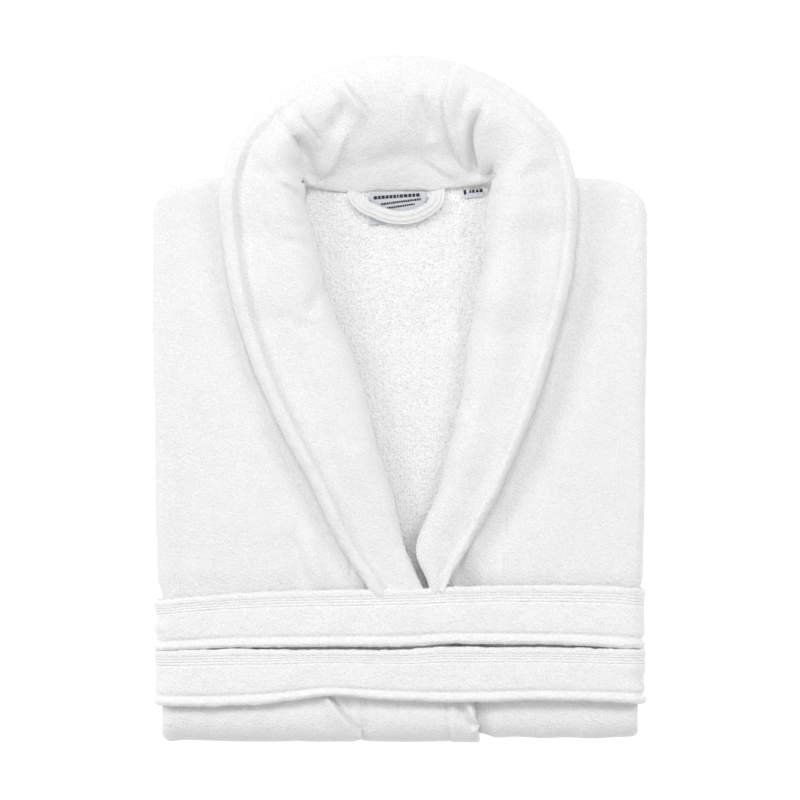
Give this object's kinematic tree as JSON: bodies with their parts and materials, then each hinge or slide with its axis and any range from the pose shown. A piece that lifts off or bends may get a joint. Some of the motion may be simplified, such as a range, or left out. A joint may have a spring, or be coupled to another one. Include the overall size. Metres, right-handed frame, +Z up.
{
  "type": "bathrobe",
  "caption": "Shawl-collar terry velour bathrobe, folded flat face up with its sash belt wrapped round it, with a hanging loop and a woven label at the back of the neck.",
  "frame": {"origin": "centre of the overall box in plan, on the surface that the folded robe lies on", "axes": "+Y towards the collar along the robe's length, +Z up out of the front of the robe, +X to the right as one looks down on the front"},
  "size_m": [0.4666, 0.6539, 0.094],
  "materials": {
    "velour": "sheared cotton velour pile, matte",
    "terry": "uncut cotton terry loops, matte",
    "loop_tape": "self-fabric strip, matte",
    "label": "woven satin label"
  },
  "bodies": {
    "robe": {"back_panel": "terry", "belt_loop_left": "velour", "belt_loop_right": "velour", "cuff_left": "velour", "cuff_right": "velour", "front_facing_left": "terry", "front_facing_right": "terry", "front_panel_left": "velour", "front_panel_right": "velour", "neck_label": "label", "pocket_left": "velour", "pocket_right": "velour", "sleeve_left": "velour", "sleeve_right": "velour", "under_collar_left": "terry", "under_collar_right": "terry", "upper_collar_left": "velour", "upper_collar_right": "velour"},
    "belt": {"belt": "velour"},
    "fall_left": {"upper_fall_left": "velour", "under_fall_left": "terry"},
    "fall_right": {"upper_fall_right": "velour", "under_fall_right": "terry"},
    "hanging_loop": {"hanging_loop": "loop_tape"},
    "size_label": {"size_label": "label"}
  },
  "joints": [
    {"name": "belt_slide", "type": "slide", "parent": "robe", "child": "belt", "axis": [0, -1, 0], "range_m": [0, 0.16]},
    {"name": "fall_left_lift", "type": "hinge", "parent": "robe", "child": "fall_left", "pos_m": [-0.15, 0.24, 0.092], "axis": [-0.2687, 0.9618, 0.0519], "range_deg": [0, 35]},
    {"name": "fall_right_lift", "type": "hinge", "parent": "robe", "child": "fall_right", "pos_m": [0.15, 0.242, 0.092], "axis": [-0.25, -0.9669, -0.0519], "range_deg": [0, 35]},
    {"name": "hanging_loop_lift", "type": "hinge", "parent": "robe", "child": "hanging_loop", "pos_m": [0, 0.1943, 0.0515], "axis": [-1, 0, 0], "range_deg": [0, 110]},
    {"name": "size_label_lift", "type": "hinge", "parent": "robe", "child": "size_label", "pos_m": [0.0705, 0.199, 0.048], "axis": [-1, 0, 0], "range_deg": [0, 40]}
  ]
}
